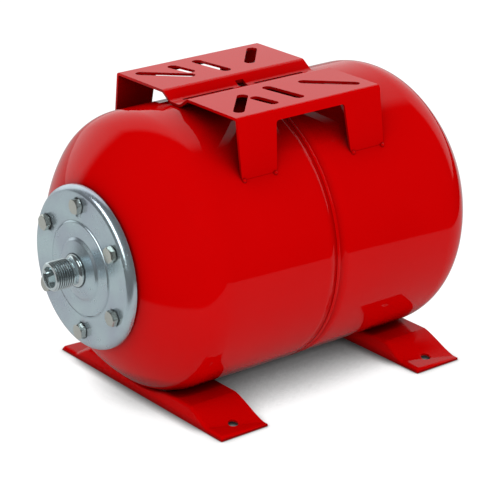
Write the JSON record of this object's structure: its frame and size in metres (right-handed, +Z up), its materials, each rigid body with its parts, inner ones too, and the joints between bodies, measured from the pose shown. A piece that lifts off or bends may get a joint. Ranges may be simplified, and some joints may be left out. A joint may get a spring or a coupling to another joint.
{
  "type": "horizontal bladder pressure tank",
  "caption": "Horizontal pressed-steel pressure tank with a bladder, a bolted flange cover with a threaded nipple, two pressed feet, a slotted pump bracket and an air valve.",
  "frame": {"origin": "on the floor under the middle of the object's box", "axes": "+X along the tank from the flange cover towards the air valve, +Y across the feet, +Z up"},
  "size_m": [0.453, 0.2588, 0.2778],
  "materials": {
    "enamel": "high-gloss baked red enamel",
    "zinc": "clear bluish zinc plate on pressed steel",
    "bolt_zinc": "warm zinc plate",
    "bare_steel": "plain steel",
    "rubber": "matt moulded rubber",
    "brass": "turned brass",
    "cap_plastic": "black moulded plastic"
  },
  "bodies": {
    "tank": {"front_shell": "enamel", "rear_shell": "enamel", "girth_weld": "enamel", "pump_bracket": "enamel", "front_foot": "enamel", "rear_foot": "enamel", "mouth_ring": "bare_steel", "weld_nut_1": "bare_steel", "weld_nut_2": "bare_steel", "weld_nut_3": "bare_steel", "weld_nut_4": "bare_steel", "weld_nut_5": "bare_steel", "weld_nut_6": "bare_steel", "flange_cover": "zinc", "nipple": "zinc", "cover_bolt_1": "bolt_zinc", "cover_bolt_2": "bolt_zinc", "cover_bolt_3": "bolt_zinc", "cover_bolt_4": "bolt_zinc", "cover_bolt_5": "bolt_zinc", "cover_bolt_6": "bolt_zinc", "bladder": "rubber", "valve_seal": "rubber", "valve_body": "brass", "valve_nut": "brass", "valve_core": "brass", "valve_spring": "bare_steel"},
    "cap": {"valve_cap": "cap_plastic", "cap_seal": "rubber"},
    "pin": {"valve_pin": "brass"}
  },
  "joints": [
    {"name": "cap_pull", "type": "slide", "parent": "tank", "child": "cap", "axis": [1, 0, 0], "range_m": [0, 0.025]},
    {"name": "pin_press", "type": "slide", "parent": "tank", "child": "pin", "axis": [-1, 0, 0], "range_m": [0, 0.0012], "stiffness_N_per_m": 200, "springref_m": -0.001, "deforming": ["valve_spring"]}
  ]
}
